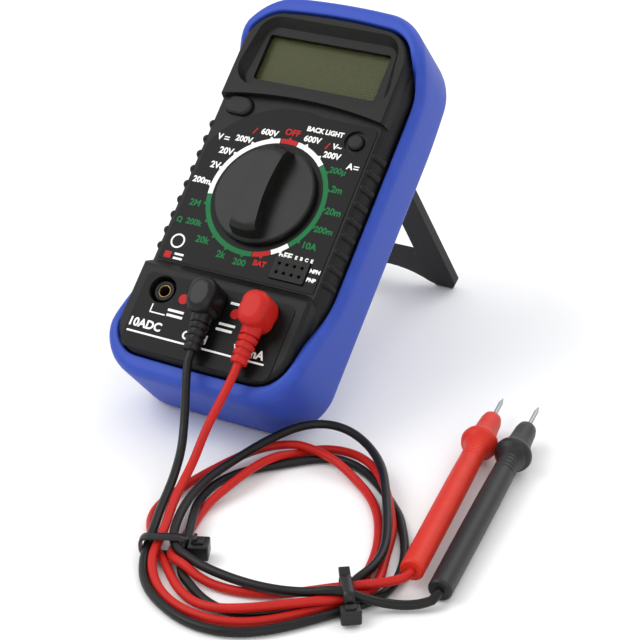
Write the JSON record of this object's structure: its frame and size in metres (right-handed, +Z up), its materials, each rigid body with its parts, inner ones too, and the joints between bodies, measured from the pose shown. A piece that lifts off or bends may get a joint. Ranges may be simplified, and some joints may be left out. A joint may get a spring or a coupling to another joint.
{
  "type": "digital_multimeter",
  "caption": "Pocket digital multimeter leaning on its tilt stand in a blue rubber holster, rotary selector, push buttons, and red and black test leads plugged in and tied in a coil",
  "frame": {"origin": "under the middle of the leaning meter, on the table", "axes": "+X to the right as the display is read, +Y from the display side back to the tilt stand, +Z up"},
  "size_m": [0.1551, 0.2368, 0.1215],
  "materials": {
    "rubber_blue": "soft matte blue rubber",
    "case_black": "fine-textured black ABS",
    "label_black": "satin printed black film",
    "window_clear": "clear acrylic",
    "display_green": "grey-green liquid crystal",
    "frame_grey": "moulded grey plastic",
    "zebra_pink": "pink silicone",
    "backlight_white": "white acrylic",
    "board_green": "green solder mask",
    "part_black": "black moulding compound",
    "steel": "plated steel",
    "brass": "machined brass",
    "nickel": "nickel plate",
    "shunt_metal": "dull resistance alloy",
    "fuse_glass": "glass tube with metal caps",
    "battery_shell": "printed steel jacket",
    "snap_black": "soft black vinyl",
    "wire_red": "red wire insulation",
    "knob_black": "smooth black plastic",
    "rotor_white": "white acetal",
    "button_black": "soft black rubber",
    "pad_grey": "grey silicone",
    "stand_black": "textured black plastic",
    "lead_black": "soft black PVC",
    "lead_red": "soft red PVC",
    "tie_black": "black nylon",
    "grip_black": "black moulded grip",
    "grip_red": "red moulded grip"
  },
  "bodies": {
    "meter": {"holster": "rubber_blue", "hinge_bracket": "rubber_blue", "stand_pin": "steel", "rear_case": "case_black", "front_case": "case_black", "case_screws": "steel", "dial_label": "label_black", "jack_label": "label_black", "display_window": "window_clear", "display_glass": "display_green", "display_frame": "frame_grey", "zebra_strip": "zebra_pink", "backlight_panel": "backlight_white", "circuit_board": "board_green", "board_screws": "steel", "board_parts": "part_black", "jack_10a": "brass", "jack_com": "brass", "jack_volt": "brass", "shunt_wire": "shunt_metal", "fuse": "fuse_glass", "fuse_clips": "nickel", "buzzer": "part_black", "transistor_socket": "case_black", "battery_9v": "battery_shell", "battery_snap": "snap_black", "battery_leads": "wire_red", "hold_pad": "pad_grey", "light_pad": "pad_grey", "black_lead": "lead_black", "red_lead": "lead_red", "lead_coil": "lead_red", "cable_tie_left": "tie_black", "cable_tie_right": "tie_black", "black_probe_grip": "grip_black", "black_probe_needle": "steel", "red_probe_grip": "grip_red", "red_probe_needle": "steel"},
    "selector": {"selector_knob": "knob_black", "switch_rotor": "rotor_white", "wiper_contacts": "brass", "detent_springs": "steel", "detent_balls": "steel"},
    "hold_button": {"hold_button": "button_black"},
    "light_button": {"light_button": "button_black"},
    "tilt_stand": {"tilt_stand": "stand_black"},
    "black_plug": {"black_plug": "lead_black", "black_plug_pin": "nickel"},
    "red_plug": {"red_plug": "lead_red", "red_plug_pin": "nickel"}
  },
  "joints": [
    {"name": "selector_turn", "type": "hinge", "parent": "meter", "child": "selector", "pos_m": [0, -0.02389, 0.07283], "axis": [0, -0.6691, 0.7431], "continuous": true},
    {"name": "hold_press", "type": "slide", "parent": "meter", "child": "hold_button", "axis": [0, -0.6691, 0.7431], "range_m": [-0.0008, 0], "stiffness_N_per_m": 1500},
    {"name": "light_press", "type": "slide", "parent": "meter", "child": "light_button", "axis": [0, -0.6691, 0.7431], "range_m": [-0.0008, 0], "stiffness_N_per_m": 1500},
    {"name": "stand_fold", "type": "hinge", "parent": "meter", "child": "tilt_stand", "pos_m": [0, 0.03653, 0.07447], "axis": [-1, 0, 0], "range_deg": [0, 75]},
    {"name": "black_plug_pull", "type": "slide", "parent": "meter", "child": "black_plug", "axis": [0, -0.6691, 0.7431], "range_m": [0, 0.022]},
    {"name": "red_plug_pull", "type": "slide", "parent": "meter", "child": "red_plug", "axis": [0, -0.6691, 0.7431], "range_m": [0, 0.022]}
  ]
}
